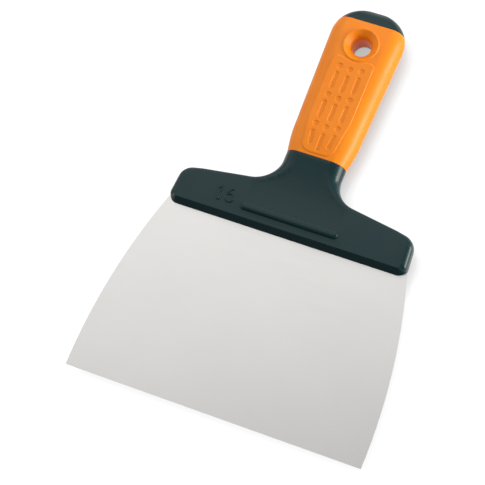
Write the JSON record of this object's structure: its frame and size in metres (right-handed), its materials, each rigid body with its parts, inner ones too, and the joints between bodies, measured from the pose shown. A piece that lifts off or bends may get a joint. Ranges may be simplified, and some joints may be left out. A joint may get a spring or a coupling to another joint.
{
  "type": "putty knife",
  "caption": "Flexible filling knife: a wide thin steel blade with curved sides, held in a wide bolster with a two-shot handle and a countersunk hanging hole.",
  "frame": {"origin": "middle of the working edge, at half the blade's thickness", "axes": "+Y from the working edge along the tool to the butt, +X across the blade, +Z out of the face with the size mark"},
  "size_m": [0.16, 0.2315, 0.0178],
  "materials": {
    "stainless_steel": "fine grain across the blade, satin",
    "polypropylene": "moulded, fine satin texture, dark blue-green",
    "thermoplastic_elastomer": "moulded, soft matt, orange"
  },
  "bodies": {
    "root": {"blade": "stainless_steel", "handle_core": "polypropylene", "soft_grip": "thermoplastic_elastomer"}
  },
  "joints": []
}
